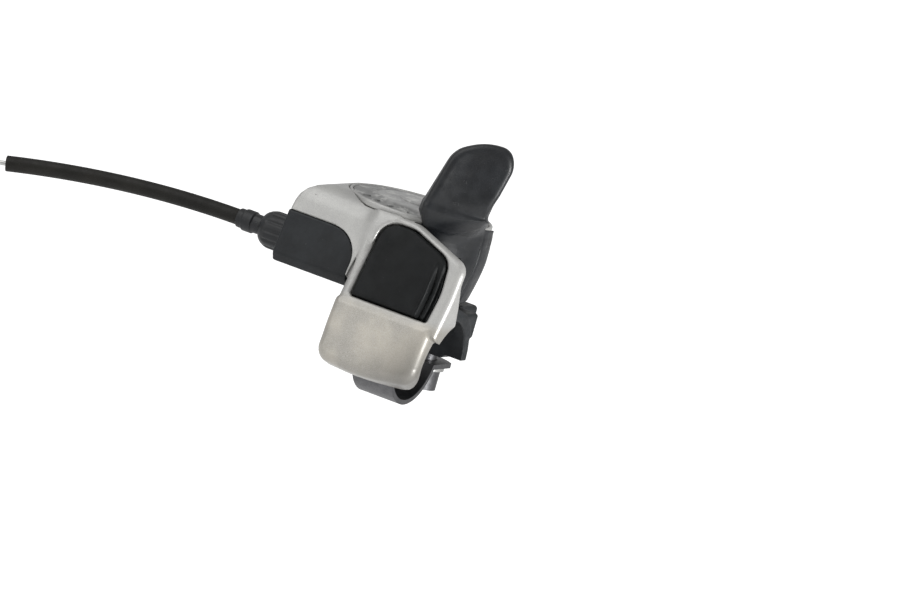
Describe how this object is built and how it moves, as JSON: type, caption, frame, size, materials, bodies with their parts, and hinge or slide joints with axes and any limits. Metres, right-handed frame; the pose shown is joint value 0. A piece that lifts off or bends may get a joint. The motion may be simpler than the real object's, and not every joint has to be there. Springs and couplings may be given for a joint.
{
  "type": "bicycle thumb shifter",
  "caption": "Over-bar indexed thumb shifter: clamp saddle, round dial on a pivot, tall thumb paddle that winds a cable drum, framed front cover and barrel adjuster.",
  "frame": {"origin": "on the handlebar's axis, at the middle of the clamp", "axes": "+X along the bar towards the grip, -Y towards the rider, +Z along the lever's pivot, away from the bar"},
  "size_m": [0.13, 0.0492, 0.0673],
  "materials": {
    "housing_plastic": "fine moulded texture",
    "silver_paint": "satin silver paint, worn at the edges",
    "pad_plastic": "matte, slightly grained",
    "lever_plastic": "satin",
    "dial_plastic": "satin grey, scuffed",
    "steel": "zinc plated",
    "dark_steel": "black oxide",
    "spring_steel": "bright drawn",
    "brass": "turned",
    "nylon": "natural nylon",
    "cable_jacket": "smooth vinyl"
  },
  "bodies": {
    "housing": {"base_housing": "housing_plastic", "front_cover": "silver_paint", "front_pad": "pad_plastic", "cover_screws": "dark_steel", "top_cap": "silver_paint", "dial_plate": "dial_plastic", "dial_cap": "dial_plastic", "dial_screw": "steel", "pivot_axle": "steel", "axle_nut": "steel", "detent_spring": "spring_steel", "detent_pin": "steel", "balance_spring": "spring_steel", "clamp_band": "dark_steel", "band_screw": "dark_steel", "clamp_bolt": "dark_steel", "clamp_washer": "steel", "clamp_nut": "steel", "inner_cable": "steel", "adjuster_spring": "spring_steel"},
    "lever": {"thumb_lever": "lever_plastic", "lever_plate": "steel", "hub_bush": "brass", "cable_drum": "nylon", "detent_disc": "steel", "wave_washer": "spring_steel", "cable_nipple": "brass"},
    "cable_stop": {"cable_housing": "cable_jacket", "housing_ferrule": "lever_plastic"},
    "adjuster": {"barrel_adjuster": "lever_plastic"}
  },
  "joints": [
    {"name": "lever_turn", "type": "hinge", "parent": "housing", "child": "lever", "pos_m": [-0.01, 0.0125, 0], "axis": [0, 0, 1], "range_deg": [0, 105], "deforming": ["detent_spring", "balance_spring", "inner_cable"]},
    {"name": "cable_stop_slide", "type": "slide", "parent": "housing", "child": "cable_stop", "axis": [1, 0, 0], "range_m": [-0.0016, 0.0004], "deforming": ["adjuster_spring"]},
    {"name": "adjuster_turn", "type": "hinge", "parent": "cable_stop", "child": "adjuster", "pos_m": [-0.04, 0.003, 0.0163], "axis": [1, 0, 0], "range_deg": [-720, 180]}
  ],
  "couplings": [
    {"joint": "adjuster_turn", "follows": "cable_stop_slide", "rad_per_m": 7854}
  ]
}
